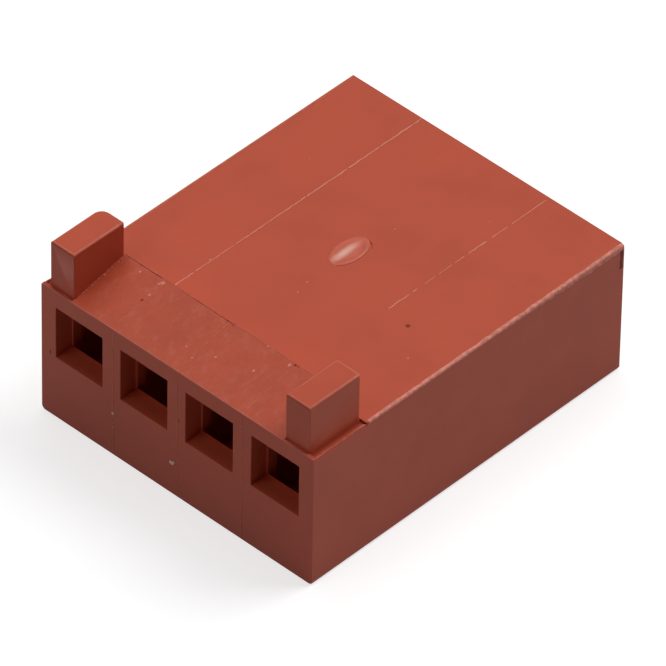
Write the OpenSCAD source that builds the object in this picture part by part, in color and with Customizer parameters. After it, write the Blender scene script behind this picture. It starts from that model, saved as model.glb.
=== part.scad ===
// Wire to board connector housing: four contact positions in one row, moulded in one piece.
// Millimetres. +Z is up, the mating face looks along -Y, the row of positions runs along X.
// The origin is the centre of the footprint, on the underside.

/* [Body] */
// Number of contact positions in the row
positions = 4; // [2:1:8]
// Distance between neighbouring positions
pitch = 2.54; // [2.50:0.01:2.60]
// Plastic added at each end of the row, beyond half a pitch
end_extra = 0.22; // [0.15:0.01:0.60]
// Length of the body from the mating face to the wire end
body_d = 12.70; // [11.50:0.05:15.00]
// Height of the body without the tabs
body_h = 4.72; // [4.60:0.01:5.20]
// Radius along the two lower long edges
lower_edge_r = 0.15; // [0.05:0.01:0.30]
// Radius along the two upper long edges
upper_edge_r = 0.06; // [0.03:0.01:0.12]

/* [Polarising tabs] */
// Width of each tab across the row
tab_w = 0.92; // [0.70:0.01:1.10]
// Length of each tab along the body
tab_l = 2.03; // [1.50:0.01:2.40]
// Height of each tab above the body
tab_h = 1.65; // [0.80:0.01:2.20]
// Distance from the side of the body to the outer face of a tab
tab_inset = 0.28; // [0.15:0.01:0.40]
// Distance from the mating face to the front of a tab
tab_setback = 0.12; // [0.05:0.01:0.30]
// Radius of the outer rear corner of the left tab
tab_left_r = 0.32; // [0.05:0.01:0.40]
// Radius of the outer rear corner of the right tab
tab_right_r = 0.08; // [0.05:0.01:0.40]
// Radius of the inner rear corner of both tabs
tab_inner_r = 0.08; // [0.05:0.01:0.20]
// Depth by which the ledge beside each tab lies below the top
ledge_drop = 0.08; // [0.04:0.01:0.15]

/* [Locking ramp] */
// Rise of the ramp from the mating face to its crest
ramp_rise = 0.48; // [0.20:0.01:0.70]
// Distance from the mating face to the crest
ramp_run = 2.18; // [1.80:0.01:2.60]
// Length over which the shoulder behind the crest falls to the top
ramp_back = 0.06; // [0.02:0.01:0.20]

/* [Pin entries] */
// Width of the square recess around each pin entry
entry_w = 1.83; // [1.60:0.01:1.90]
// Height of the recess around each pin entry
entry_h = 1.85; // [1.60:0.01:1.90]
// Height of the pin row above the underside
pin_z = 3.19; // [3.10:0.01:3.25]
// Depth of the recess behind the mating face
entry_d = 0.62; // [0.40:0.01:0.90]
// Width of the ledge at the floor of the recess
entry_step = 0.09; // [0.04:0.01:0.20]
// Thickness of the wall between the recess and the contact cavity
wall_l = 0.35; // [0.25:0.05:0.80]

/* [Contact cavities] */
// Width of each contact cavity
cavity_w = 1.90; // [1.80:0.01:2.00]
// Top of the contact cavities above the underside
cavity_top = 4.05; // [4.03:0.01:4.20]
// Floor of the contact cavities above the underside
cavity_floor = 1.15; // [1.00:0.01:1.30]

/* [Latching windows] */
// Width of the window under each cavity
window_w = 1.20; // [0.90:0.01:1.40]
// Length of the window under each cavity
window_l = 2.40; // [1.80:0.05:2.80]
// Distance from the mating face to the front of the windows
window_y = 5.20; // [4.20:0.05:5.60]

/* [Gate mark] */
// Width of the shallow oval left by the gate
gate_w = 0.80; // [0.50:0.01:1.10]
// Length of the shallow oval left by the gate
gate_l = 1.45; // [1.15:0.01:1.90]
// Depth of the oval
gate_depth = 0.03; // [0.02:0.01:0.06]
// Distance from the mating face to the middle of the oval
gate_y = 7.05; // [5.50:0.05:8.00]

/* [Hidden] */
$fn = 64;
// Overlap that joins or clears neighbouring solids
eps = 0.02;
// Depth to which tabs and ramp are rooted in the body
root = 0.30;
body_w = positions * pitch + 2 * end_extra;
front_y = -body_d / 2;
rear_y = body_d / 2;
hole_w = entry_w - 2 * entry_step;
hole_h = entry_h - 2 * entry_step;
cavity_y = front_y + entry_d + wall_l;
tab_out = body_w / 2 - tab_inset;
tab_in = tab_out - tab_w;
tab_y = front_y + tab_setback;
ledge_l = tab_setback + tab_l;
ledge_in = tab_out - max(tab_left_r, tab_right_r);
plastic = [0.62, 0.20, 0.15];

// Places its children at every position of the row
module at_positions() {
  for (i = [0 : positions - 1])
    translate([(i - (positions - 1) / 2) * pitch, 0, 0]) children();
}

// Box from three spans, each given as [low, high]
module span_box(x, y, z) {
  translate([x[0], y[0], z[0]]) cube([x[1] - x[0], y[1] - y[0], z[1] - z[0]]);
}

// Extrudes a profile drawn in X and Z along Y between two stations
module along_y(y0, y1) {
  translate([0, y1, 0]) rotate([90, 0, 0]) linear_extrude(height = y1 - y0) children();
}

// Extrudes a profile drawn in Y and Z along X, centred
module along_x(w) {
  translate([-w / 2, 0, 0]) rotate([90, 0, 90]) linear_extrude(height = w) children();
}

// Cross-section of the body with its four rounded long edges
module body_section() {
  half = body_w / 2;
  lower = half - lower_edge_r;
  upper = half - upper_edge_r;
  translate([-lower, 0]) square([2 * lower, lower_edge_r + eps]);
  translate([-half, lower_edge_r]) square([body_w, body_h - lower_edge_r - upper_edge_r]);
  translate([-upper, body_h - upper_edge_r - eps]) square([2 * upper, upper_edge_r + eps]);
  for (s = [-1, 1]) {
    translate([s * lower, lower_edge_r]) circle(r = lower_edge_r);
    translate([s * upper, body_h - upper_edge_r]) circle(r = upper_edge_r);
  }
}

// Plan of a tab on the +X side: square at the front, rounded at the rear
module tab_plan(outer_r) {
  translate([tab_in, tab_y]) square([tab_w, tab_l - outer_r]);
  translate([tab_in, tab_y]) square([tab_w - outer_r, tab_l - tab_inner_r]);
  translate([tab_in + tab_inner_r, tab_y]) square([tab_w - outer_r - tab_inner_r, tab_l]);
  translate([tab_out - outer_r, tab_y + tab_l - outer_r]) circle(r = outer_r);
  translate([tab_in + tab_inner_r, tab_y + tab_l - tab_inner_r]) circle(r = tab_inner_r);
}

// The two tabs differ only in the radius of the outer rear corner
module tabs() {
  translate([0, 0, body_h - root])
    linear_extrude(height = root + tab_h) {
      tab_plan(tab_right_r);
      mirror([1, 0]) tab_plan(tab_left_r);
    }
}

// Wedge between the tabs: it rises from the mating face and ends in a locking shoulder
module ramp() {
  along_x(2 * tab_in + 2 * eps)
    polygon([
      [front_y, body_h - root],
      [front_y, body_h],
      [front_y + ramp_run, body_h + ramp_rise],
      [front_y + ramp_run + ramp_back, body_h],
      [front_y + ramp_run + ramp_back, body_h - root]
    ]);
}

// Lowers the narrow strip between each tab and the side of the body
module ledges() {
  for (side = [0, 1])
    mirror([side, 0, 0])
      span_box([ledge_in, body_w / 2 + eps],
               [tab_y, front_y + ledge_l],
               [body_h - ledge_drop, body_h + eps]);
}

// Everything removed for one contact: recess, square hole through the front wall, and cavity
module contact_way() {
  recess_y = front_y + entry_d;
  span_box([-entry_w / 2, entry_w / 2], [front_y - eps, recess_y],
           [pin_z - entry_h / 2, pin_z + entry_h / 2]);
  span_box([-hole_w / 2, hole_w / 2], [recess_y - eps, cavity_y + eps],
           [pin_z - hole_h / 2, pin_z + hole_h / 2]);
  span_box([-cavity_w / 2, cavity_w / 2], [cavity_y, rear_y + eps], [cavity_floor, cavity_top]);
}

// Window through the underside, in which the contact's locking lance catches
module latching_window() {
  window_y0 = front_y + window_y;
  span_box([-window_w / 2, window_w / 2], [window_y0, window_y0 + window_l],
           [-eps, cavity_floor + eps]);
}

// Shallow oval on the top, left by the gate
module gate_mark() {
  reach = (gate_l - gate_w) / 2;
  translate([0, front_y + gate_y, body_h - gate_depth])
    linear_extrude(height = gate_depth + eps) {
      translate([-gate_w / 2, -reach]) square([gate_w, 2 * reach]);
      for (s = [-1, 1]) translate([0, s * reach]) circle(d = gate_w);
    }
}

module housing() {
  color(plastic)
    difference() {
      union() {
        difference() {
          along_y(front_y, rear_y) body_section();
          ledges();
        }
        tabs();
        ramp();
      }
      at_positions() {
        contact_way();
        latching_window();
      }
      gate_mark();
    }
}

housing();
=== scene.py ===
"""Looks of a moulded wire to board housing: plastic, mould marks, flash, studio and camera."""
import math
import random

import bmesh
import bpy
from bpy.props import (
    FloatProperty,
    FloatVectorProperty,
    IntProperty,
    PointerProperty,
)
from bpy.types import Operator, Panel, PropertyGroup
from mathutils import Matrix, Vector, noise


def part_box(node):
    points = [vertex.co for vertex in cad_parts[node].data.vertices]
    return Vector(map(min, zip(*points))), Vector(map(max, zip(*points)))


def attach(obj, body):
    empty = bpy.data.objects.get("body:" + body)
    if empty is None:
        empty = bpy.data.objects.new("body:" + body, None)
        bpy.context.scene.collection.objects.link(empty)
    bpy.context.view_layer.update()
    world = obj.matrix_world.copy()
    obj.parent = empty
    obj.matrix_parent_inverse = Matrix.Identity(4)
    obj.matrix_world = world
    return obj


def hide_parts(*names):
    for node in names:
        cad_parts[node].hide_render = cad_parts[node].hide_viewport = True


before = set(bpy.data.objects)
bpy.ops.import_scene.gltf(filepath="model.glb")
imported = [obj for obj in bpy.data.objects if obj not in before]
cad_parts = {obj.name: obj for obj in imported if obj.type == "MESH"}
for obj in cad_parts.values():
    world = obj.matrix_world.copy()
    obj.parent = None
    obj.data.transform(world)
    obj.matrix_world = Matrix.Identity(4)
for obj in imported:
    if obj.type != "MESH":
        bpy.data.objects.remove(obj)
CAD_LOW, CAD_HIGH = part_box("housing")
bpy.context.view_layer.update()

bl_info = {
    "name": "Crimp Housing Looks",
    "version": (1, 0, 0),
    "blender": (4, 5, 0),
    "location": "View3D > Sidebar > Housing",
    "description": "Builds the moulded surface, mould marks and studio for a crimp housing",
    "category": "Object",
}

MM = 0.001
CENTRE_X = (CAD_LOW.x + CAD_HIGH.x) / 2
FRONT_Y = CAD_LOW.y
REAR_Y = CAD_HIGH.y
PITCH = 2.54 * MM
# a face this large, or this nearly square to an axis, is shaded flat
FLAT_AREA = 0.06 * MM * MM
FLAT_TILT = 0.9995
SHARP_DEGREES = 50
PLASTIC_IOR = 1.5
# patterns per millimetre
FINE_GRAIN = 7.0
ORANGE_PEEL = 2.4
# the Mix node's colour inputs and output
MIX_A, MIX_B, MIX_RESULT = 6, 7, 2


# ---------------------------------------------------------------- settings


class HOUSING_PG_form(PropertyGroup):
    """Sizes of the moulded form that the eye reads on the surface"""

    body_height: FloatProperty(
        name="Body Height",
        description="Height of the flat top above the underside",
        default=4.72 * MM,
        unit="LENGTH",
    )
    ramp_run: FloatProperty(
        name="Ramp Run",
        description="Distance from the mating face to the crest of the locking ramp",
        default=2.18 * MM,
        unit="LENGTH",
    )
    ramp_rise: FloatProperty(
        name="Ramp Rise",
        description="Height of the crest above the flat top",
        default=0.48 * MM,
        unit="LENGTH",
    )
    tab_inner: FloatProperty(
        name="Tab Inner Face",
        description="Distance of each tab's inner face from the middle",
        default=4.10 * MM,
        unit="LENGTH",
    )
    edge_radius: FloatProperty(
        name="Edge Radius",
        description="Radius that the mould leaves on outer edges",
        default=0.035 * MM,
        unit="LENGTH",
    )
    tab_radius: FloatProperty(
        name="Tab Edge Radius",
        description="Radius on the edges of the tabs",
        default=0.07 * MM,
        unit="LENGTH",
    )
    tear_depth: FloatProperty(
        name="Torn Edge Depth",
        description="How far the torn flash hangs down the right side at the wire end",
        default=0.15 * MM,
        unit="LENGTH",
    )
    entry_back: FloatProperty(
        name="Entry Wall Back",
        description="Distance from the mating face to the back of the wall round the holes",
        default=0.97 * MM,
        unit="LENGTH",
    )
    hole_floor: FloatProperty(
        name="Hole Floor",
        description="Height of the lower edge of the square holes",
        default=2.355 * MM,
        unit="LENGTH",
    )
    lip_fall: FloatProperty(
        name="Lip Fall",
        description="How far the floor of each hole falls away behind its lip",
        default=0.45 * MM,
        unit="LENGTH",
    )
    skin: FloatProperty(
        name="Skin",
        description="Depth kept free on the outer faces for marks that stand proud",
        default=0.012 * MM,
        unit="LENGTH",
    )
    seam_width: FloatProperty(
        name="Seam Width",
        description="Width of the witness lines that the mould inserts leave",
        default=0.052 * MM,
        unit="LENGTH",
    )
    gate_width: FloatProperty(
        name="Gate Width",
        description="Width of the oval gate vestige",
        default=0.80 * MM,
        unit="LENGTH",
    )
    gate_length: FloatProperty(
        name="Gate Length",
        description="Length of the oval gate vestige",
        default=1.45 * MM,
        unit="LENGTH",
    )
    gate_place: FloatProperty(
        name="Gate Distance",
        description="Distance from the mating face to the middle of the gate vestige",
        default=7.05 * MM,
        unit="LENGTH",
    )


class HOUSING_PG_plastic(PropertyGroup):
    """Colour and finish of the moulded plastic, with the colours used for painted highlight and
    painted shade
    """

    base: FloatVectorProperty(
        name="Plastic",
        description="Colour of the moulded plastic",
        default=(0.460, 0.072, 0.032),
        subtype="COLOR",
        min=0.0,
        max=1.0,
    )
    # lighter than the plastic: the colour of the witness lines, and also a painted highlight on the
    # tab tops, the upper front edge, the ledge rims, the left edge and the crest
    seam: FloatVectorProperty(
        name="Seam Plastic",
        description="Colour of the thin witness lines",
        default=(0.52, 0.125, 0.080),
        subtype="COLOR",
        min=0.0,
        max=1.0,
    )
    # whitened plastic, set as bright as a lit highlight: on the torn right edge and the top witness
    # lines it is partly a painted highlight
    pale: FloatVectorProperty(
        name="Stressed Plastic",
        description="Colour of plastic whitened where flash was torn off",
        default=(0.62, 0.210, 0.155),
        subtype="COLOR",
        min=0.0,
        max=1.0,
    )
    chip: FloatVectorProperty(
        name="Chips",
        description="Colour of whitened chips and crumbs",
        default=(0.86, 0.60, 0.50),
        subtype="COLOR",
        min=0.0,
        max=1.0,
    )
    # painted shade: near-black red that stands for the shade along the crest, in its pits and in the
    # pocket at the rear right corner
    pit: FloatVectorProperty(
        name="Pits",
        description="Colour at the bottom of small pits and gaps",
        default=(0.13, 0.008, 0.003),
        subtype="COLOR",
        min=0.0,
        max=1.0,
    )
    roughness: FloatProperty(
        name="Roughness",
        description="Roughness of the satin surface",
        default=0.46,
        subtype="FACTOR",
        min=0.0,
        max=1.0,
    )
    grain: FloatProperty(
        name="Grain",
        description="Depth of the fine surface grain",
        default=0.0025 * MM,
        unit="LENGTH",
    )


class HOUSING_PG_studio(PropertyGroup):
    """Camera and light"""

    focal: FloatProperty(
        name="Focal Length", description="Lens focal length in mm", default=568.5, min=1.0
    )
    distance: FloatProperty(
        name="Camera Distance",
        description="Distance from the camera to its aim point",
        default=297.0 * MM,
        unit="LENGTH",
    )
    azimuth: FloatProperty(
        name="Azimuth",
        description="Turn of the camera about the vertical",
        default=math.radians(42.88),
        subtype="ANGLE",
    )
    elevation: FloatProperty(
        name="Elevation",
        description="Height angle of the camera",
        default=math.radians(41.59),
        subtype="ANGLE",
    )
    roll: FloatProperty(
        name="Roll",
        description="Roll of the camera about its line of sight",
        default=math.radians(1.08),
        subtype="ANGLE",
    )
    key_power: FloatProperty(
        name="Overhead Strength",
        description="Radiance of the large overhead softbox",
        default=1.0,
        min=0.0,
    )
    room: FloatProperty(
        name="Room Light",
        description="Strength of the dim room around the stage",
        default=0.0,
        min=0.0,
    )


class HOUSING_PG_settings(PropertyGroup):
    """All settings"""

    form: PointerProperty(type=HOUSING_PG_form)
    plastic: PointerProperty(type=HOUSING_PG_plastic)
    studio: PointerProperty(type=HOUSING_PG_studio)
    seed: IntProperty(name="Seed", description="Seed of the scattered marks", default=7, min=0)


# --------------------------------------------------------------- materials


class Graph:
    """Small helper that adds and joins shader nodes."""

    def __init__(self, material):
        self.tree = material.node_tree
        self.tree.nodes.clear()

    def add(self, kind, **values):
        node = self.tree.nodes.new(kind)
        for key, value in values.items():
            setattr(node, key, value)
        return node

    def join(self, out, into):
        self.tree.links.new(out, into)


def new_material(name):
    material = bpy.data.materials.new(name)
    material.use_nodes = True
    return material, Graph(material)


def millimetre_coordinates(graph):
    """Object coordinates scaled so that one unit of pattern is one millimetre."""
    coord = graph.add("ShaderNodeTexCoord")
    scaled = graph.add("ShaderNodeMapping")
    scaled.inputs["Scale"].default_value = (1 / MM, 1 / MM, 1 / MM)
    graph.join(coord.outputs["Object"], scaled.inputs["Vector"])
    return scaled.outputs["Vector"]


def noise_node(graph, where, scale, detail=3.0, roughness=0.55):
    node = graph.add("ShaderNodeTexNoise")
    node.inputs["Scale"].default_value = scale
    node.inputs["Detail"].default_value = detail
    node.inputs["Roughness"].default_value = roughness
    graph.join(where, node.inputs["Vector"])
    return node.outputs["Fac"]


def colour_ramp(graph, factor, stops):
    node = graph.add("ShaderNodeValToRGB")
    ramp = node.color_ramp
    while len(ramp.elements) < len(stops):
        ramp.elements.new(0.5)
    for element, (position, colour) in zip(ramp.elements, stops):
        element.position = position
        element.color = (*colour, 1.0)
    graph.join(factor, node.inputs["Fac"])
    return node.outputs["Color"]


def shaded(colour, factor):
    return tuple(min(1.0, c * factor) for c in colour)


def soft_step(graph, value, start, end):
    """Rises from 0 at start to 1 at end, or falls where end lies below start."""
    node = graph.add("ShaderNodeMapRange", interpolation_type="SMOOTHSTEP")
    low, high = min(start, end), max(start, end)
    node.inputs["From Min"].default_value = low
    node.inputs["From Max"].default_value = high
    if start > end:
        node.inputs["To Min"].default_value = 1.0
        node.inputs["To Max"].default_value = 0.0
    graph.join(value, node.inputs["Value"])
    return node.outputs["Result"]


def times(graph, one, other):
    node = graph.add("ShaderNodeMath", operation="MULTIPLY")
    graph.join(one, node.inputs[0])
    if isinstance(other, float):
        node.inputs[1].default_value = other
    else:
        graph.join(other, node.inputs[1])
    return node.outputs["Value"]


def blend_colour(graph, factor, first, second):
    node = graph.add("ShaderNodeMix", data_type="RGBA")
    graph.join(factor, node.inputs["Factor"])
    graph.join(first, node.inputs[MIX_A])
    if isinstance(second, tuple):
        node.inputs[MIX_B].default_value = (*second, 1.0)
    else:
        graph.join(second, node.inputs[MIX_B])
    return node.outputs[MIX_RESULT]


def moulded_plastic(
    name, settings, colour, roughness, mottle=0.05, grain=1.0, scale=0.55, specular=0.2
):
    """Satin moulded nylon: soft cloudy mottling, fine grain and a slight orange-peel."""
    material, graph = new_material(name)
    shader = graph.add("ShaderNodeBsdfPrincipled")
    output = graph.add("ShaderNodeOutputMaterial")
    graph.join(shader.outputs["BSDF"], output.inputs["Surface"])
    shader.inputs["IOR"].default_value = PLASTIC_IOR
    shader.inputs["Specular IOR Level"].default_value = specular
    where = millimetre_coordinates(graph)

    clouds = noise_node(graph, where, scale, 3.0)
    tinted = colour_ramp(
        graph,
        clouds,
        [(0.30, shaded(colour, 1.0 - mottle)), (0.70, shaded(colour, 1.0 + mottle))],
    )
    graph.join(tinted, shader.inputs["Base Color"])

    fine = noise_node(graph, where, FINE_GRAIN, 4.0)
    rough = graph.add("ShaderNodeMapRange")
    rough.inputs["To Min"].default_value = roughness - 0.05
    rough.inputs["To Max"].default_value = roughness + 0.07
    graph.join(fine, rough.inputs["Value"])
    graph.join(rough.outputs["Result"], shader.inputs["Roughness"])

    peel = noise_node(graph, where, ORANGE_PEEL, 2.0)
    both = graph.add("ShaderNodeMath", operation="MULTIPLY_ADD")
    both.inputs[1].default_value = 0.35
    graph.join(fine, both.inputs[0])
    graph.join(peel, both.inputs[2])
    bump = graph.add("ShaderNodeBump")
    bump.inputs["Strength"].default_value = 0.55
    bump.inputs["Distance"].default_value = settings.plastic.grain * grain
    graph.join(both.outputs["Value"], bump.inputs["Height"])
    graph.join(bump.outputs["Normal"], shader.inputs["Normal"])
    return material, graph, where, shader, tinted


def plain_plastic(*finish):
    """Moulded plastic for a small mark, with nothing painted over it."""
    return moulded_plastic(*finish)[0]


def shell_plastic(settings):
    """The housing's own plastic, with the scuffed texture of the ramp between the tabs."""
    plastic = settings.plastic
    form = settings.form
    material, graph, where, shader, tinted = moulded_plastic(
        "brick_red_nylon", settings, plastic.base, plastic.roughness
    )
    parts = graph.add("ShaderNodeSeparateXYZ")
    graph.join(where, parts.inputs["Vector"])
    crest = (FRONT_Y + form.ramp_run) / MM
    top = form.body_height / MM
    on_ramp = times(
        graph,
        soft_step(graph, parts.outputs["Y"], crest + 0.01, crest - 0.02),
        soft_step(graph, parts.outputs["Z"], top - 0.02, top + 0.02),
    )
    across = graph.add("ShaderNodeMath", operation="ABSOLUTE")
    graph.join(parts.outputs["X"], across.inputs[0])
    inner = form.tab_inner / MM
    on_ramp = times(
        graph, on_ramp, soft_step(graph, across.outputs["Value"], inner, inner - 0.03)
    )
    streaks = graph.add("ShaderNodeMapping")
    streaks.inputs["Scale"].default_value = (1.0, 0.55, 1.0)
    streaks.inputs["Rotation"].default_value = (0.0, 0.0, math.radians(35.0))
    graph.join(where, streaks.inputs["Vector"])
    scuff = noise_node(graph, streaks.outputs["Vector"], 4.2, 5.0, 0.68)
    scuffed = times(graph, times(graph, on_ramp, soft_step(graph, scuff, 0.46, 0.76)), 0.6)
    colour = blend_colour(graph, scuffed, tinted, tuple(plastic.seam))
    dull = noise_node(graph, where, 1.7, 3.0, 0.6)
    dulled = times(graph, on_ramp, soft_step(graph, dull, 0.52, 0.30))
    colour = blend_colour(graph, times(graph, dulled, 0.55), colour, shaded(plastic.base, 0.86))
    graph.join(colour, shader.inputs["Base Color"])
    return material


def gate_plastic(settings):
    """The glossier skin of the gate vestige, with a painted highlight along its middle."""
    plastic = settings.plastic
    form = settings.form
    material, graph, where, shader, tinted = moulded_plastic(
        "gate_vestige_nylon", settings, shaded(plastic.base, 1.08), 0.36, 0.08, 2.0, 2.4, 0.35
    )
    shift = graph.add("ShaderNodeMapping")
    # middle and half sizes of the painted highlight, in millimetres
    glint_x = -0.11
    glint_y = (FRONT_Y + form.gate_place) / MM - 0.12
    half_wide, half_long = 0.105, 0.42
    shift.inputs["Location"].default_value = (-glint_x / half_wide, -glint_y / half_long, 0.0)
    shift.inputs["Scale"].default_value = (1 / half_wide, 1 / half_long, 0.0)
    graph.join(where, shift.inputs["Vector"])
    reach = graph.add("ShaderNodeVectorMath", operation="LENGTH")
    graph.join(shift.outputs["Vector"], reach.inputs[0])
    painted_glint = soft_step(graph, reach.outputs["Value"], 1.9, 0.1)
    colour = blend_colour(graph, times(graph, painted_glint, 0.6), tinted, tuple(plastic.chip))
    graph.join(colour, shader.inputs["Base Color"])
    return material


# ------------------------------------------------------------------ pieces


def link_piece(mesh_bm, name, material, smooth_angle=35.0):
    """Turns a bmesh into a finished piece that rides on the housing's body."""
    mesh = bpy.data.meshes.new(name)
    mesh_bm.normal_update()
    mesh_bm.to_mesh(mesh)
    mesh_bm.free()
    piece = bpy.data.objects.new(name, mesh)
    bpy.context.scene.collection.objects.link(piece)
    for item in material if isinstance(material, (list, tuple)) else [material]:
        mesh.materials.append(item)
    for face in mesh.polygons:
        face.use_smooth = face.area < FLAT_AREA and max(map(abs, face.normal)) < FLAT_TILT
    mesh.set_sharp_from_angle(angle=math.radians(smooth_angle))
    weigh = piece.modifiers.new("flat_faces_stay_flat", "WEIGHTED_NORMAL")
    weigh.weight = 100
    weigh.keep_sharp = True
    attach(piece, "root")
    return piece


def edge_mid(edge):
    return (edge.verts[0].co + edge.verts[1].co) / 2


def round_edges(bm, pick, radius, segments=2):
    """Bevels the sharp edges that pick() chooses and returns the new faces."""
    edges = [
        e
        for e in bm.edges
        if len(e.link_faces) == 2
        and e.calc_face_angle(0.0) > math.radians(SHARP_DEGREES)
        and pick(edge_mid(e), (e.verts[1].co - e.verts[0].co))
    ]
    if not edges:
        raise RuntimeError("no edge of the shell answers to a rounding")
    result = bmesh.ops.bevel(
        bm,
        geom=edges,
        offset=radius,
        offset_type="OFFSET",
        segments=segments,
        profile=0.5,
        affect="EDGES",
        clamp_overlap=True,
        material=-1,
    )
    return result["faces"]


def merged_copy(node_name):
    bm = bmesh.new()
    bm.from_mesh(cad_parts[node_name].data)
    bmesh.ops.remove_doubles(bm, verts=bm.verts, dist=1e-6)
    bmesh.ops.dissolve_limit(
        bm, angle_limit=math.radians(1.0), verts=bm.verts, edges=bm.edges
    )
    return bm


def cut(bm, inside, axis, place):
    """Cuts only the faces that inside() accepts, at one place along an axis."""
    faces = [f for f in bm.faces if inside(f.calc_center_median())]
    geom = set(faces)
    for face in faces:
        geom.update(face.edges)
        geom.update(face.verts)
    normal = Vector((axis == 0, axis == 1, axis == 2))
    bmesh.ops.bisect_plane(
        bm, geom=list(geom), plane_co=normal * place, plane_no=normal, dist=1e-8
    )


def stations(rng, low, high, step):
    """Uneven places between low and high, about a step apart."""
    place = low + step * rng.uniform(0.3, 1.0)
    while place < high:
        yield place
        place += step * rng.uniform(0.5, 1.5)


def ragged(place, scale, seed):
    """Repeatable roughness between 0 and 1 along a line."""
    where = Vector((place / scale, seed, 0.0))
    return min(1.0, max(0.0, 0.5 + 0.75 * noise.fractal(where, 0.9, 2.1, 4)))


def tear_right_edge(bm, form, rng):
    """Turns the upper right edge into torn flash that hangs lower towards the wire end, and returns
    the faces that are painted pale, partly as whitened plastic and partly as painted highlight.
    """
    side, top = CAD_HIGH.x, form.body_height
    border, lip, over = 0.30 * MM, 0.068 * MM, 0.115 * MM
    start = FRONT_Y + form.ramp_run + 0.03 * MM
    near = 0.002 * MM
    nibble, wobble, bite_depth = 0.02 * MM, 0.04 * MM, 0.045 * MM
    wear_start, wear_run = 1.0 * MM, 4.2 * MM

    def on_side(centre):
        return centre.x > side - near and centre.z < top - 0.05 * MM

    def on_top(centre):
        return abs(centre.z - top) < near and centre.y > start

    def in_band(centre):
        return (
            centre.x > side - border and centre.z > top - border - near and centre.y > start
        )

    cut(bm, on_side, 2, top - border)
    cut(bm, on_side, 2, top - lip)
    cut(bm, on_top, 0, side - border)
    cut(bm, on_top, 0, side - over)
    for place in stations(rng, start, REAR_Y, 0.065 * MM):
        cut(bm, in_band, 1, place)

    def near_edge(place):
        return place.x >= side - over - near and place.z >= top - lip - near

    # faces to be painted pale: partly whitened torn plastic, partly painted highlight
    pale = [
        f
        for f in bm.faces
        if in_band(f.calc_center_median()) and near_edge(f.calc_center_median())
    ]
    for vert in bm.verts:
        place = vert.co
        if place.y < start + 0.05 * MM or not near_edge(place):
            continue
        wear = min(1.0, max(0.0, (place.y - wear_start) / wear_run))
        if abs(place.z - (top - lip)) < near:
            hang = 0.2 + ragged(place.y / MM, 0.30, 3.0)
            place.z -= form.tear_depth * wear * hang + nibble * ragged(place.y / MM, 0.2, 8.0)
        elif abs(place.x - (side - over)) < near:
            place.x += wobble * (ragged(place.y / MM, 0.5, 5.0) - 0.5)
        else:
            bite = bite_depth * (0.35 + 0.65 * wear) * ragged(place.y / MM, 0.23, 9.0)
            place.x -= bite * 0.6
            place.z -= bite * 0.7
    return pale


class HOUSING_OT_shell(Operator):
    """Build the moulded shell with its rounded and torn edges from the housing's solid, with a
    painted highlight on the tab tops and the upper front edge
    """

    bl_idname = "housing.shell"
    bl_label = "Moulded Shell"

    def execute(self, context):
        settings = context.scene.housing_settings
        form = settings.form
        rng = random.Random(settings.seed)
        bm = merged_copy("housing")
        near = 0.004 * MM
        corner_radius = 0.09 * MM
        strip_area = (0.1 * MM) * (12.0 * MM)

        def on_front(mid, run):
            return abs(mid.y - FRONT_Y) < near

        def on_tab_top(mid, run):
            return mid.z > CAD_HIGH.z - near

        def tab_upright(mid, run):
            return mid.z > form.body_height + 0.4 * MM and abs(run.z) > 0.5 * MM

        def rear_right(mid, run):
            return (
                mid.x > CAD_HIGH.x - near and mid.y > REAR_Y - near and abs(run.z) > 1.0 * MM
            )

        for vert in bm.verts:
            behind = abs(vert.co.y - FRONT_Y - form.entry_back) < near
            if behind and abs(vert.co.z - form.hole_floor) < near:
                vert.co.z -= form.lip_fall

        # the rounded tab tops get a lighter colour as painted highlight
        highlit_tab_faces = round_edges(bm, on_tab_top, form.tab_radius, 3)
        highlit_tab_keys = {tuple(f.calc_center_median()) for f in highlit_tab_faces}
        round_edges(bm, tab_upright, form.tab_radius, 2)
        round_edges(bm, on_front, form.edge_radius, 2)
        round_edges(bm, rear_right, corner_radius, 3)
        torn = tear_right_edge(bm, form, rng)
        for face in torn:
            face.material_index = 2
        for face in bm.faces:
            centre = face.calc_center_median()
            if tuple(centre) in highlit_tab_keys:
                face.material_index = 1
            # the upward-facing strip of the rounded front top edge gets the same painted highlight
            upper_front = (
                abs(centre.z - form.body_height) < form.edge_radius
                and abs(centre.y - FRONT_Y) < form.edge_radius
                and face.calc_area() < strip_area
                and centre.z > form.body_height - 0.9 * form.edge_radius
            )
            if upper_front and abs(face.normal.y) > 0.1 and face.normal.z > 0.1:
                face.material_index = 1
        for vert in bm.verts:
            vert.co.y = max(vert.co.y, FRONT_Y + form.skin)
            vert.co.x = min(vert.co.x, CAD_HIGH.x - form.skin)
        plastic = settings.plastic
        # painted highlight for the tab tops and the upper front edge
        edge_highlight = plain_plastic("worn_edge_nylon", settings, plastic.seam, 0.5, 0.14, 2.0, 3.5)
        # pale torn flash: partly whitened plastic, partly painted highlight
        torn_flash_and_highlight = plain_plastic("torn_flash_nylon", settings, plastic.pale, 0.6, 0.30, 4.0, 7.0)
        piece = link_piece(bm, "housing_shell", [shell_plastic(settings), edge_highlight, torn_flash_and_highlight])
        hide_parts("housing")
        return {"FINISHED"}


def add_part(bm, part):
    """Joins a finished part to the piece that it belongs to."""
    mesh = bpy.data.meshes.new("part")
    part.to_mesh(mesh)
    part.free()
    bm.from_mesh(mesh)
    bpy.data.meshes.remove(mesh)


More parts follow.
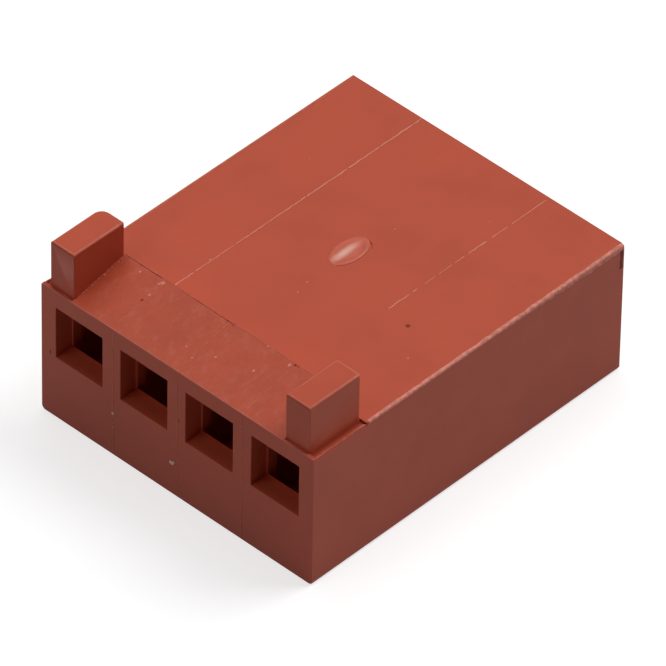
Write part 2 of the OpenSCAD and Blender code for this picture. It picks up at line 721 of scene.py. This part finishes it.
def ridge(bm, start, end, width, height, rng, up, step=0.12 * MM, sway=0.2, fade=True):
    """A low uneven ridge from start to end, rooted just under the surface that up points out of."""
    along = end - start
    length = along.length
    side = along.normalized().cross(up).normalized()
    turn = Matrix((side, along.normalized(), up)).transposed().to_4x4()
    part = bmesh.new()
    made = bmesh.ops.create_cube(part, size=1.0)["verts"]
    bmesh.ops.scale(part, verts=made, vec=(width, length, 2.0 * height))
    long_edges = [
        e for e in part.edges if abs(e.verts[0].co.y - e.verts[1].co.y) > 0.5 * length
    ]
    cuts = max(2, int(length / step))
    bmesh.ops.subdivide_edges(part, edges=long_edges, cuts=cuts, use_grid_fill=True)
    tick = 0.001 * MM
    shifts = {}
    for key in sorted({round(v.co.y / tick) for v in part.verts}):
        shift = rng.uniform(-1, 1) * sway * width
        shifts[key] = (shift, rng.uniform(0.35, 1.0), rng.uniform(0.6, 1.1))
    for vert in part.verts:
        shift, tall, wide = shifts[round(vert.co.y / tick)]
        share = abs(vert.co.y) / (0.5 * length)
        taper = 1.0 - 0.75 * max(0.0, share - 0.8) / 0.2 if fade else 1.0
        if vert.co.z > 0:
            vert.co.z = height * tall * taper
            vert.co.x = vert.co.x * 0.7 * wide + shift
        else:
            vert.co.x = vert.co.x * wide * taper + shift
            vert.co.z = -0.6 * height
    place = Matrix.Translation((start + end) / 2)
    bmesh.ops.transform(part, matrix=place @ turn, verts=part.verts)
    bmesh.ops.recalc_face_normals(part, faces=part.faces)
    add_part(bm, part)


def bead(bm, place, size, up, rng, stretch=1.0, turn=0.0):
    """A flattened crumb of plastic that sits half sunk in the surface."""
    part = bmesh.new()
    bmesh.ops.create_icosphere(part, subdivisions=2, radius=1.0)
    for vert in part.verts:
        vert.co *= rng.uniform(0.86, 1.1)
    width, height = size
    bmesh.ops.scale(part, verts=part.verts, vec=(width, width * stretch, height))
    spun = Matrix.Rotation(turn, 3, "Z")
    bmesh.ops.rotate(part, verts=part.verts, cent=(0, 0, 0), matrix=spun)
    lean = Vector((0, 0, 1)).rotation_difference(up).to_matrix().to_4x4()
    bmesh.ops.transform(part, matrix=Matrix.Translation(place) @ lean, verts=part.verts)
    add_part(bm, part)


UP = Vector((0, 0, 1))
FORWARD = Vector((0, -1, 0))
RIGHT = Vector((1, 0, 0))


def spot(x, y, z):
    return Vector((x, y, z)) * MM


def on_ramp(form, x, y):
    """Point on the ramp's slope, with x and y in millimetres."""
    rise = form.ramp_rise * (y * MM - FRONT_Y) / form.ramp_run
    return Vector((x * MM, y * MM, form.body_height + rise))


def ramp_up(form):
    return Vector((0, -form.ramp_rise, form.ramp_run)).normalized()


class HOUSING_OT_seams(Operator):
    """Lay the thin witness lines that the mould inserts leave at the pitch lines"""

    bl_idname = "housing.seams"
    bl_label = "Witness Lines"

    def execute(self, context):
        settings = context.scene.housing_settings
        form, plastic = settings.form, settings.plastic
        rng = random.Random(settings.seed + 1)
        # both colours are lighter than the plastic: partly pale witness-line plastic, partly painted
        # highlight
        line = plain_plastic("seam_nylon", settings, plastic.pale, 0.5, 0.12, 1.0, 2.6)
        faint = plain_plastic("faint_seam_nylon", settings, plastic.seam, 0.5, 0.12, 1.0, 2.6)
        top = form.body_height
        crest = FRONT_Y + form.ramp_run + 0.08 * MM
        width = form.seam_width
        high = 0.010 * MM

        bm = bmesh.new()
        place = crest
        while place < REAR_Y - 0.05 * MM:
            length = rng.uniform(0.7, 2.2) * MM
            end = min(place + length, REAR_Y - 0.03 * MM)
            ridge(
                bm, Vector((-PITCH, place, top)), Vector((-PITCH, end, top)),
                width * rng.uniform(0.75, 1.15), high, rng, UP,
            )
            place = end + rng.uniform(0.0, 0.10) * MM
        link_piece(bm, "top_seam_left", line)

        bm = bmesh.new()
        off = 2.42 * MM
        # start and end along the body in mm, and share of the seam's width
        for start, end, share in (
            (-0.30, 0.55, 1.1), (0.70, 0.86, 1.0), (1.15, 1.60, 0.6), (1.75, 2.30, 0.6),
            (2.42, 2.80, 0.8), (2.98, 3.70, 1.1), (3.95, 4.60, 0.8), (4.75, 6.20, 0.7),
        ):
            ridge(
                bm, Vector((off, start * MM, top)), Vector((off, end * MM, top)),
                width * share, high, rng, UP,
            )
        link_piece(bm, "top_seam_right", line)

        bm = bmesh.new()
        slope = ramp_up(form)
        for x in (-2.52, 0.0, 2.54):
            place = FRONT_Y / MM + 0.25
            while place < crest / MM - 0.35:
                end = place + rng.uniform(0.12, 0.4)
                ridge(
                    bm, on_ramp(form, x, place), on_ramp(form, x, min(end, crest / MM - 0.2)),
                    width * rng.uniform(0.5, 0.8), high * 0.8, rng, slope, 0.08 * MM,
                )
                place = end + rng.uniform(0.08, 0.35)
        link_piece(bm, "ramp_seams", faint)

        bm = bmesh.new()
        flat = FRONT_Y + form.skin
        for x, share in ((-2.48, 1.0), (0.03, 0.75), (2.54, 0.85)):
            place = 0.10
            while place < form.body_height / MM - 0.25:
                end = min(place + rng.uniform(0.25, 1.3), form.body_height / MM - 0.12)
                ridge(
                    bm, Vector((x * MM, flat, end * MM)), Vector((x * MM, flat, place * MM)),
                    width * share, form.skin * 0.9, rng, FORWARD, 0.1 * MM,
                )
                place = end + rng.uniform(0.0, 0.12)
        link_piece(bm, "front_seams", faint)
        return {"FINISHED"}


class HOUSING_OT_crest(Operator):
    """Lay the thin flash along the crest of the ramp, partly lighter as painted highlight, with a
    painted shadow along the crest and painted shade for its pits
    """

    bl_idname = "housing.crest"
    bl_label = "Crest Flash"

    def execute(self, context):
        settings = context.scene.housing_settings
        form, plastic = settings.form, settings.plastic
        rng = random.Random(settings.seed + 2)
        # the flash line is lighter partly as a painted highlight on the crest's edge
        line = plain_plastic("crest_flash_nylon", settings, plastic.seam, 0.5, 0.12, 1.0, 2.6)
        crest_shadow = plain_plastic("gap_nylon", settings, plastic.pit, 0.7, 0.2, 1.0, 4.0)
        slope = ramp_up(form)
        y = FRONT_Y / MM + form.ramp_run / MM
        bm = bmesh.new()
        # start and end across the row, in mm
        for start, end in (
            (-4.05, -3.2), (-3.15, -2.2), (-2.05, -0.35), (0.28, 1.2), (1.3, 2.35), (2.75, 4.0),
        ):
            ridge(
                bm, on_ramp(form, start, y - 0.012), on_ramp(form, end, y - 0.012),
                0.030 * MM, 0.010 * MM, rng, slope, 0.1 * MM,
            )
        link_piece(bm, "crest_flash", line)
        # painted shadow: dark strips just before the crest, and dark flat beads as painted shade for
        # pits
        bm = bmesh.new()
        for start, end, wide in (
            (-4.02, -3.1, 0.020), (-3.12, -2.62, 0.034), (-1.45, -0.85, 0.014), (-0.6, 0.2, 0.018),
        ):
            ridge(
                bm, on_ramp(form, start, y - 0.045), on_ramp(form, end, y - 0.045),
                wide * MM, 0.004 * MM, rng, slope, 0.1 * MM, 0.3,
            )
        # place across the row, distance before the crest, and half width, in mm
        for x, back, wide in (
            (-0.07, 0.05, 0.035), (0.18, 0.09, 0.022), (2.56, 0.07, 0.05), (2.66, 0.06, 0.03),
        ):
            bead(bm, on_ramp(form, x, y - back), (wide * MM, 0.005 * MM), slope, rng, 0.7)
        link_piece(bm, "crest_shadow_and_pit_shade", crest_shadow)
        return {"FINISHED"}


class HOUSING_OT_gate(Operator):
    """Shape the glossy oval vestige of the gate"""

    bl_idname = "housing.gate"
    bl_label = "Gate Vestige"

    def execute(self, context):
        settings = context.scene.housing_settings
        form = settings.form
        rng = random.Random(settings.seed + 3)
        top = form.body_height
        bm = bmesh.new()
        # share of the oval's radius, and height above the flat top in mm
        profile = (
            (0.0, -0.06), (1.0, -0.06), (1.0, -0.014), (0.93, 0.002), (0.85, 0.007), (0.77, 0.003),
            (0.70, -0.004), (0.60, -0.005), (0.48, 0.002), (0.34, 0.010), (0.18, 0.014), (0.0, 0.015),
        )
        chain = [bm.verts.new((share, 0.0, height * MM)) for share, height in profile]
        edges = [bm.edges.new(pair) for pair in zip(chain, chain[1:])]
        bmesh.ops.spin(
            bm,
            geom=chain + edges,
            cent=(0, 0, 0),
            axis=(0, 0, 1),
            angle=math.tau,
            steps=72,
            use_merge=True,
        )
        bmesh.ops.remove_doubles(bm, verts=bm.verts, dist=1e-7)
        bmesh.ops.scale(
            bm, verts=bm.verts, vec=(0.53 * form.gate_width, 0.52 * form.gate_length, 1.0)
        )
        for vert in bm.verts:
            if vert.co.z > -0.03 * MM:
                around = math.atan2(vert.co.y, vert.co.x)
                wave = noise.noise(Vector((vert.co.x, vert.co.y, 0)) / (0.22 * MM))
                vert.co.z += 0.005 * MM * (wave + math.sin(around + 0.4))
        bmesh.ops.recalc_face_normals(bm, faces=bm.faces)
        bmesh.ops.translate(
            bm, verts=bm.verts, vec=(-0.08 * MM, FRONT_Y + form.gate_place, top)
        )
        link_piece(bm, "gate_vestige", gate_plastic(settings), 60.0)
        return {"FINISHED"}


class HOUSING_OT_flash(Operator):
    """Lay the flash beside the tabs and along the left edge, lighter as painted highlight, and a dark
    strip as painted shade at the rear right corner
    """

    bl_idname = "housing.flash"
    bl_label = "Edge Flash"

    def execute(self, context):
        settings = context.scene.housing_settings
        form, plastic = settings.form, settings.plastic
        rng = random.Random(settings.seed + 4)
        # the rims and the left edge ridge are lighter as painted highlight; the corner strip is
        # painted shade
        rim_highlight = plain_plastic("rim_flash_nylon", settings, plastic.seam, 0.5, 0.16, 2.0, 3.2)
        corner_shade = plain_plastic("corner_flash_nylon", settings, plastic.pit, 0.6, 0.2, 1.0, 3.0)
        top = form.body_height
        low = top - 0.08 * MM
        crest = FRONT_Y + form.ramp_run
        bm = bmesh.new()
        for x, width in (
            (CAD_HIGH.x - 0.055 * MM, 0.075 * MM), (CAD_LOW.x + 0.055 * MM, 0.07 * MM),
        ):
            ridge(
                bm, Vector((x, FRONT_Y + 0.05 * MM, low)), Vector((x, crest - 0.05 * MM, low)),
                width, 0.072 * MM, rng, UP, 0.1 * MM, 0.1, False,
            )
        link_piece(bm, "ledge_rims", rim_highlight)
        bm = bmesh.new()
        x = CAD_LOW.x + 0.085 * MM
        ridge(
            bm, Vector((x, crest + 0.1 * MM, top)), Vector((x, REAR_Y - 0.05 * MM, top)),
            0.045 * MM, 0.012 * MM, rng, UP, 0.1 * MM, 0.25,
        )
        link_piece(bm, "left_edge_flash", rim_highlight)
        # painted shade: a barely raised dark strip that stands for the shade in the pocket at the
        # rear right corner
        bm = bmesh.new()
        x, y = CAD_HIGH.x - 0.016 * MM, REAR_Y - 0.105 * MM
        ridge(
            bm, Vector((x, y, top - 0.16 * MM)), Vector((x, y, top - 0.83 * MM)),
            0.16 * MM, 0.014 * MM, rng, RIGHT, 0.08 * MM, 0.04, False,
        )
        link_piece(bm, "corner_flash", corner_shade)
        return {"FINISHED"}


class HOUSING_OT_crumbs(Operator):
    """Scatter the small chips and crumbs over the surfaces, and dark beads as painted shade for pits
    """

    bl_idname = "housing.crumbs"
    bl_label = "Chips And Pits"

    def execute(self, context):
        settings = context.scene.housing_settings
        form, plastic = settings.form, settings.plastic
        rng = random.Random(settings.seed + 5)
        chip = plain_plastic("chip_nylon", settings, plastic.chip, 0.6, 0.12, 2.0, 6.0)
        pale = plain_plastic("crumb_nylon", settings, plastic.pale, 0.55, 0.15, 2.0, 6.0)
        # painted shade: darkened plastic for pits and a notch
        dark = shaded(plastic.base, 0.45)
        pit = plain_plastic("pit_nylon", settings, dark, 0.7, 0.2, 1.0, 6.0)
        slope = ramp_up(form)
        top = form.body_height / MM
        flat = (FRONT_Y + form.skin) / MM

        bm = bmesh.new()
        bead(bm, spot(-0.18, flat, 1.14), (0.085 * MM, form.skin * 0.88), FORWARD, rng, 0.8)
        bead(bm, spot(-0.10, flat, 1.20), (0.04 * MM, form.skin * 0.85), FORWARD, rng, 1.2)
        bead(bm, spot(-2.48, flat, 1.55), (0.055 * MM, form.skin * 0.88), FORWARD, rng, 0.9)
        # painted highlight: a whitish bead on the right tab's inner rear corner
        bead(bm, spot(4.02, -4.27, 5.26), (0.03 * MM, 0.03 * MM), UP, rng)
        link_piece(bm, "bright_chips", chip)

        bm = bmesh.new()
        # place and half width of each crumb, in mm
        for x, y, wide in (
            (0.01, -1.09, 0.034), (0.12, -1.58, 0.026), (0.22, 2.29, 0.028),
            (4.24, -1.45, 0.030), (-2.59, -2.32, 0.036), (1.9, 4.4, 0.018), (-3.6, 2.8, 0.018),
        ):
            bead(bm, spot(x, y, top), (wide * MM, 0.010 * MM), UP, rng)
        for x, y, wide in (
            (-2.50, -4.34, 0.060), (-2.56, -4.42, 0.040), (-2.50, -4.86, 0.035),
            (0.04, -5.76, 0.034), (1.75, -5.07, 0.036), (-0.38, -5.55, 0.030),
            (1.48, -4.20, 0.032), (2.42, -4.33, 0.045), (-3.30, -4.42, 0.045),
            (0.55, -5.35, 0.030),
        ):
            stretch, turn = rng.uniform(0.8, 1.5), rng.uniform(0, 3)
            bead(bm, on_ramp(form, x, y), (wide * MM, 0.010 * MM), slope, rng, stretch, turn)
        for x, wide in ((0.03, 0.06), (2.54, 0.055), (-2.5, 0.03), (0.2, 0.04)):
            bead(bm, spot(x, flat + 0.035, top - 0.012), (wide * MM, 0.022 * MM), UP, rng, 0.5)
        for x, z, wide in ((-2.46, 1.04, 0.035), (-2.49, 1.85, 0.022), (2.5, 4.2, 0.02)):
            bead(bm, spot(x, flat, z), (wide * MM, form.skin * 0.9), FORWARD, rng, 1.1)
        for place in range(11):
            y = -6.12 + 0.175 * place + rng.uniform(-0.05, 0.05)
            lift = on_ramp(form, -4.07 + rng.uniform(0.0, 0.04), y)
            wide = rng.uniform(0.016, 0.034) * MM
            bead(bm, lift + UP * 0.01 * MM, (wide, 0.014 * MM), UP, rng)
        link_piece(bm, "pale_crumbs", pale)

        bm = bmesh.new()
        bead(bm, spot(3.31, -0.46, top), (0.075 * MM, 0.003 * MM), UP, rng)
        bead(bm, on_ramp(form, -2.54, -5.11), (0.04 * MM, 0.004 * MM), slope, rng, 1.2)
        bead(bm, spot(-4.95, flat, 2.33), (0.028 * MM, 0.004 * MM), FORWARD, rng, 3.4)
        bead(bm, spot(0.10, flat, 2.90), (0.03 * MM, 0.004 * MM), FORWARD, rng, 2.2)
        bead(bm, spot(-2.50, flat, 1.30), (0.022 * MM, 0.004 * MM), FORWARD, rng, 1.5)
        # painted shadow in the step behind the right tab's outer rear corner
        bead(bm, spot(5.16, -4.19, 4.66), (0.07 * MM, 0.03 * MM), UP, rng, 0.8)
        link_piece(bm, "dark_hollow_shade", pit)
        return {"FINISHED"}


# ------------------------------------------------------------------- stage


def aim(obj, place, target, roll=0.0):
    look = (target - place).normalized()
    right = look.cross(Vector((0, 0, 1))).normalized()
    up = right.cross(look)
    turned_right = math.cos(roll) * right + math.sin(roll) * up
    turned_up = turned_right.cross(look)
    turn = Matrix((turned_right, turned_up, -look)).transposed()
    obj.matrix_world = Matrix.Translation(place) @ turn.to_4x4()


def softbox(name, place, target, size, radiance):
    light = bpy.data.lights.new(name, "AREA")
    light.shape = "RECTANGLE"
    light.size, light.size_y = size
    light.energy = radiance * math.pi * size[0] * size[1]
    lamp = bpy.data.objects.new(name, light)
    bpy.context.scene.collection.objects.link(lamp)
    aim(lamp, place, target)


def seen_directly(graph, path):
    """1 for rays from the camera, from a reflection or through a clear material, else 0."""
    seen = path.outputs["Is Camera Ray"]
    for kind in ("Is Glossy Ray", "Is Transmission Ray"):
        either = graph.add("ShaderNodeMath", operation="MAXIMUM")
        graph.join(seen, either.inputs[0])
        graph.join(path.outputs[kind], either.inputs[1])
        seen = either.outputs["Value"]
    return seen


# name, place from the middle of the part and width in metres, share of the strength
SOFTBOXES = (
    ("back_softbox", (-0.05, 0.30, 0.40), 0.40, 1.03),
    ("back_right_softbox", (0.15, 0.30, 0.45), 0.30, 5.70),
    ("left_softbox", (-0.20, 0.06, 0.50), 0.30, 2.58),
    ("front_softbox", (-0.10, -0.33, 0.50), 0.30, 2.07),
)
FLOOR_HALF = 0.4
FLOOR_GREY = (0.5, 0.5, 0.5, 1.0)
FLOOR_GLOW = (0.66, 0.66, 0.66, 1.0)
WHITE = (1.0, 1.0, 1.0, 1.0)
SENSOR_WIDTH = 36.0
AIM_POINT = Vector((0.316, -0.312, 2.5)) * MM


class HOUSING_OT_stage(Operator):
    """Set up the pale floor, the soft light and the camera"""

    bl_idname = "housing.stage"
    bl_label = "Stage"

    def execute(self, context):
        scene = context.scene
        studio = scene.housing_settings.studio
        middle = Vector((CENTRE_X, 0.0, 2.5 * MM))

        bm = bmesh.new()
        bmesh.ops.create_grid(bm, x_segments=2, y_segments=2, size=FLOOR_HALF)
        floor_mesh = bpy.data.meshes.new("floor")
        bm.to_mesh(floor_mesh)
        bm.free()
        floor = bpy.data.objects.new("floor", floor_mesh)
        scene.collection.objects.link(floor)
        material, graph = new_material("pale_floor")
        diffuse = graph.add("ShaderNodeBsdfDiffuse")
        diffuse.inputs["Color"].default_value = FLOOR_GREY
        glow = graph.add("ShaderNodeEmission")
        glow.inputs["Color"].default_value = FLOOR_GLOW
        glow.inputs["Strength"].default_value = 1.0
        path = graph.add("ShaderNodeLightPath")
        total = graph.add("ShaderNodeAddShader")
        mix = graph.add("ShaderNodeMixShader")
        output = graph.add("ShaderNodeOutputMaterial")
        graph.join(diffuse.outputs["BSDF"], total.inputs[0])
        graph.join(glow.outputs["Emission"], total.inputs[1])
        graph.join(seen_directly(graph, path), mix.inputs["Fac"])
        graph.join(diffuse.outputs["BSDF"], mix.inputs[1])
        graph.join(total.outputs["Shader"], mix.inputs[2])
        graph.join(mix.outputs["Shader"], output.inputs["Surface"])
        floor_mesh.materials.append(material)

        for name, place, width, share in SOFTBOXES:
            radiance = studio.key_power * share
            softbox(name, middle + Vector(place), middle, (width, width), radiance)

        world = bpy.data.worlds.new("room")
        world.use_nodes = True
        graph = Graph(world)
        output = graph.add("ShaderNodeOutputWorld")
        lit = graph.add("ShaderNodeBackground")
        lit.inputs["Strength"].default_value = studio.room
        seen_back = graph.add("ShaderNodeBackground")
        seen_back.inputs["Strength"].default_value = 1.0
        seen_back.inputs["Color"].default_value = WHITE
        path = graph.add("ShaderNodeLightPath")
        mix = graph.add("ShaderNodeMixShader")
        graph.join(seen_directly(graph, path), mix.inputs["Fac"])
        graph.join(lit.outputs["Background"], mix.inputs[1])
        graph.join(seen_back.outputs["Background"], mix.inputs[2])
        graph.join(mix.outputs["Shader"], output.inputs["Surface"])
        scene.world = world

        lens = bpy.data.cameras.new("camera")
        lens.sensor_width = SENSOR_WIDTH
        lens.lens = studio.focal
        lens.clip_start = 0.01
        lens.clip_end = 5.0
        camera = bpy.data.objects.new("camera", lens)
        scene.collection.objects.link(camera)
        flat = math.cos(studio.elevation)
        back = Vector(
            (
                flat * math.sin(studio.azimuth),
                -flat * math.cos(studio.azimuth),
                math.sin(studio.elevation),
            )
        )
        aim(camera, AIM_POINT + back * studio.distance, AIM_POINT, studio.roll)
        scene.camera = camera
        scene.view_settings.view_transform = "Standard"
        return {"FINISHED"}


# ------------------------------------------------------------------- panel


class HOUSING_PT_panel(Panel):
    """Lists the settings and the pieces in the sidebar"""

    bl_idname = "HOUSING_PT_panel"
    bl_label = "Crimp Housing"
    bl_space_type = "VIEW_3D"
    bl_region_type = "UI"
    bl_category = "Housing"

    def draw(self, context):
        settings = context.scene.housing_settings
        for title, group in (
            ("Form", settings.form),
            ("Plastic", settings.plastic),
            ("Studio", settings.studio),
        ):
            box = self.layout.box()
            box.label(text=title)
            for key in group.bl_rna.properties.keys():
                if key not in {"rna_type", "name"}:
                    box.prop(group, key)
        self.layout.prop(settings, "seed")
        for operator in OPERATORS:
            self.layout.operator(operator.bl_idname)


OPERATORS = (
    HOUSING_OT_shell,
    HOUSING_OT_seams,
    HOUSING_OT_crest,
    HOUSING_OT_gate,
    HOUSING_OT_flash,
    HOUSING_OT_crumbs,
    HOUSING_OT_stage,
)
CLASSES = (
    HOUSING_PG_form,
    HOUSING_PG_plastic,
    HOUSING_PG_studio,
    HOUSING_PG_settings,
    *OPERATORS,
    HOUSING_PT_panel,
)


def register():
    for cls in CLASSES:
        bpy.utils.register_class(cls)
    bpy.types.Scene.housing_settings = PointerProperty(type=HOUSING_PG_settings)


def unregister():
    del bpy.types.Scene.housing_settings
    for cls in reversed(CLASSES):
        bpy.utils.unregister_class(cls)


def main():
    register()
    bpy.ops.housing.shell()
    bpy.ops.housing.seams()
    bpy.ops.housing.crest()
    bpy.ops.housing.gate()
    bpy.ops.housing.flash()
    bpy.ops.housing.crumbs()
    bpy.ops.housing.stage()


if __name__ == "__main__":
    main()
